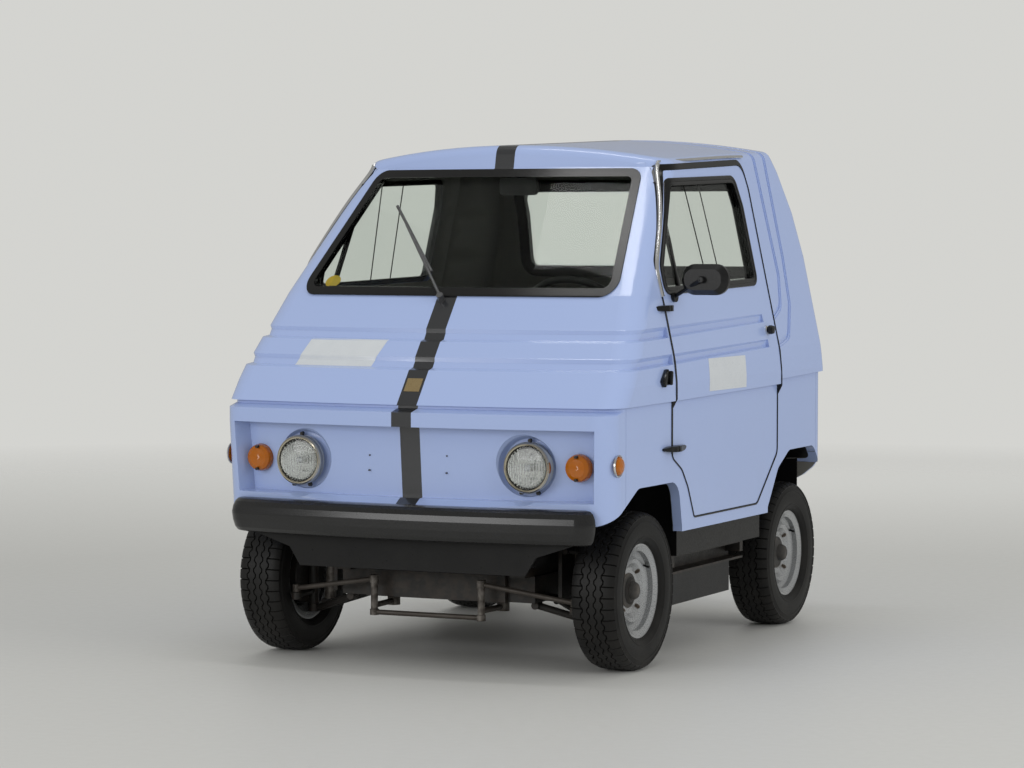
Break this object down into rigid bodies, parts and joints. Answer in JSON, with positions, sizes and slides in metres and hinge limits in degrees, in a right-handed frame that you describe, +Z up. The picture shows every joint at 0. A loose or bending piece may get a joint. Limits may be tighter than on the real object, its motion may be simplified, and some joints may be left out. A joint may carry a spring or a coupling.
{
  "type": "two-seat electric microcar",
  "caption": "Tall narrow two-seat microcar with slab sides, raked windscreen, ribbed nose, recessed round headlamps, steerable small wheels and two hinged side doors.",
  "frame": {"origin": "on the ground plane, on the centre plane of the car, midway between the two axles", "axes": "+Z up, -Y towards the front of the car, +X towards the car's left side"},
  "size_m": [1.5111, 1.958, 1.6533],
  "materials": {
    "body_paint": "satin lavender-blue gel coat",
    "bumper_rubber": "satin black",
    "seal_rubber": "black",
    "window_glass": "clear",
    "lamp_chrome": "polished",
    "lamp_glass": "ribbed clear",
    "signal_plastic": "amber and red lenses",
    "chassis_black": "satin black",
    "link_steel": "bare steel",
    "battery_case": "black",
    "motor_case": "cast grey",
    "floor_black": "black gel coat",
    "trim_black": "black",
    "seat_cloth": "dark cloth",
    "wheel_paint": "silver paint",
    "tyre_rubber": "black"
  },
  "bodies": {
    "body": {"upper_body": "body_paint", "front_panel": "body_paint", "rear_panel": "body_paint", "side_panels": "body_paint", "fixed_windows": "window_glass", "window_seals": "seal_rubber", "bumpers": "bumper_rubber", "headlamp_rims": "lamp_chrome", "headlamp_lenses": "lamp_glass", "signal_lamps": "signal_plastic", "front_suspension": "chassis_black", "rear_axle": "chassis_black", "drive_motor": "motor_case", "dampers": "link_steel", "chassis_frame": "chassis_black", "battery_boxes": "battery_case", "floor_pan": "floor_black", "steering_column": "trim_black", "dashboard": "trim_black", "seats": "seat_cloth", "interior_mirror": "trim_black", "wiper": "trim_black", "hinge_brackets": "trim_black"},
    "door_left": {"door_left": "body_paint", "door_window_left": "window_glass", "door_fittings_left": "trim_black", "door_mirror": "trim_black"},
    "door_right": {"door_right": "body_paint", "door_window_right": "window_glass", "door_fittings_right": "trim_black"},
    "knuckle_left": {"knuckle_left": "chassis_black"},
    "knuckle_right": {"knuckle_right": "chassis_black"},
    "idler_left": {"idler_left": "link_steel"},
    "idler_right": {"idler_right": "link_steel"},
    "centre_link": {"centre_link": "link_steel"},
    "track_rod_left": {"track_rod_left": "link_steel"},
    "track_rod_right": {"track_rod_right": "link_steel"},
    "steering_wheel": {"steering_wheel": "trim_black"},
    "wheel_front_left": {"rim_front_left": "wheel_paint", "tyre_front_left": "tyre_rubber"},
    "wheel_front_right": {"rim_front_right": "wheel_paint", "tyre_front_right": "tyre_rubber"},
    "wheel_rear_left": {"rim_rear_left": "wheel_paint", "tyre_rear_left": "tyre_rubber"},
    "wheel_rear_right": {"rim_rear_right": "wheel_paint", "tyre_rear_right": "tyre_rubber"}
  },
  "joints": [
    {"name": "left_door_hinge", "type": "hinge", "parent": "body", "child": "door_left", "pos_m": [0.684, -0.486, 0.668], "axis": [0.0647, 0, -0.9979], "range_deg": [0, 65]},
    {"name": "right_door_hinge", "type": "hinge", "parent": "body", "child": "door_right", "pos_m": [-0.684, -0.486, 0.668], "axis": [0.0647, 0, 0.9979], "range_deg": [0, 65]},
    {"name": "left_wheel_steer", "type": "hinge", "parent": "body", "child": "knuckle_left", "pos_m": [0.505, -0.65, 0.243], "axis": [0, 0, 1], "range_deg": [-28, 28]},
    {"name": "right_wheel_steer", "type": "hinge", "parent": "body", "child": "knuckle_right", "pos_m": [-0.505, -0.65, 0.243], "axis": [0, 0, 1], "range_deg": [-28, 28]},
    {"name": "left_idler_swing", "type": "hinge", "parent": "body", "child": "idler_left", "pos_m": [0.19, -0.7, 0.179], "axis": [0, 0, 1], "range_deg": [-31, 31]},
    {"name": "right_idler_swing", "type": "hinge", "parent": "body", "child": "idler_right", "pos_m": [-0.19, -0.7, 0.179], "axis": [0, 0, 1], "range_deg": [-31, 31]},
    {"name": "centre_link_pin", "type": "hinge", "parent": "idler_left", "child": "centre_link", "pos_m": [0.184, -0.842, 0.158], "axis": [0, 0, 1], "range_deg": [-31, 31]},
    {"name": "left_track_rod_pin", "type": "hinge", "parent": "idler_left", "child": "track_rod_left", "pos_m": [0.184, -0.842, 0.261], "axis": [0, 0, 1], "range_deg": [-31, 31]},
    {"name": "right_track_rod_pin", "type": "hinge", "parent": "idler_right", "child": "track_rod_right", "pos_m": [-0.184, -0.842, 0.261], "axis": [0, 0, 1], "range_deg": [-31, 31]},
    {"name": "steering_wheel_turn", "type": "hinge", "parent": "body", "child": "steering_wheel", "pos_m": [0.264, -0.29, 1.033], "axis": [0, 0.788, 0.6157], "range_deg": [-395, 395]},
    {"name": "front_left_wheel_roll", "type": "hinge", "parent": "knuckle_left", "child": "wheel_front_left", "pos_m": [0.572, -0.65, 0.243], "axis": [1, 0, 0], "continuous": true},
    {"name": "rear_left_wheel_roll", "type": "hinge", "parent": "body", "child": "wheel_rear_left", "pos_m": [0.562, 0.65, 0.243], "axis": [1, 0, 0], "continuous": true},
    {"name": "front_right_wheel_roll", "type": "hinge", "parent": "knuckle_right", "child": "wheel_front_right", "pos_m": [-0.572, -0.65, 0.243], "axis": [1, 0, 0], "continuous": true},
    {"name": "rear_right_wheel_roll", "type": "hinge", "parent": "body", "child": "wheel_rear_right", "pos_m": [-0.562, 0.65, 0.243], "axis": [1, 0, 0], "continuous": true}
  ],
  "couplings": [
    {"joint": "right_wheel_steer", "follows": "left_wheel_steer", "ratio": 1},
    {"joint": "left_idler_swing", "follows": "left_wheel_steer", "ratio": 1.09},
    {"joint": "right_idler_swing", "follows": "left_wheel_steer", "ratio": 1.09},
    {"joint": "centre_link_pin", "follows": "left_wheel_steer", "ratio": -1.09},
    {"joint": "left_track_rod_pin", "follows": "left_wheel_steer", "ratio": -1.09},
    {"joint": "right_track_rod_pin", "follows": "left_wheel_steer", "ratio": -1.09},
    {"joint": "steering_wheel_turn", "follows": "left_wheel_steer", "ratio": 14}
  ]
}
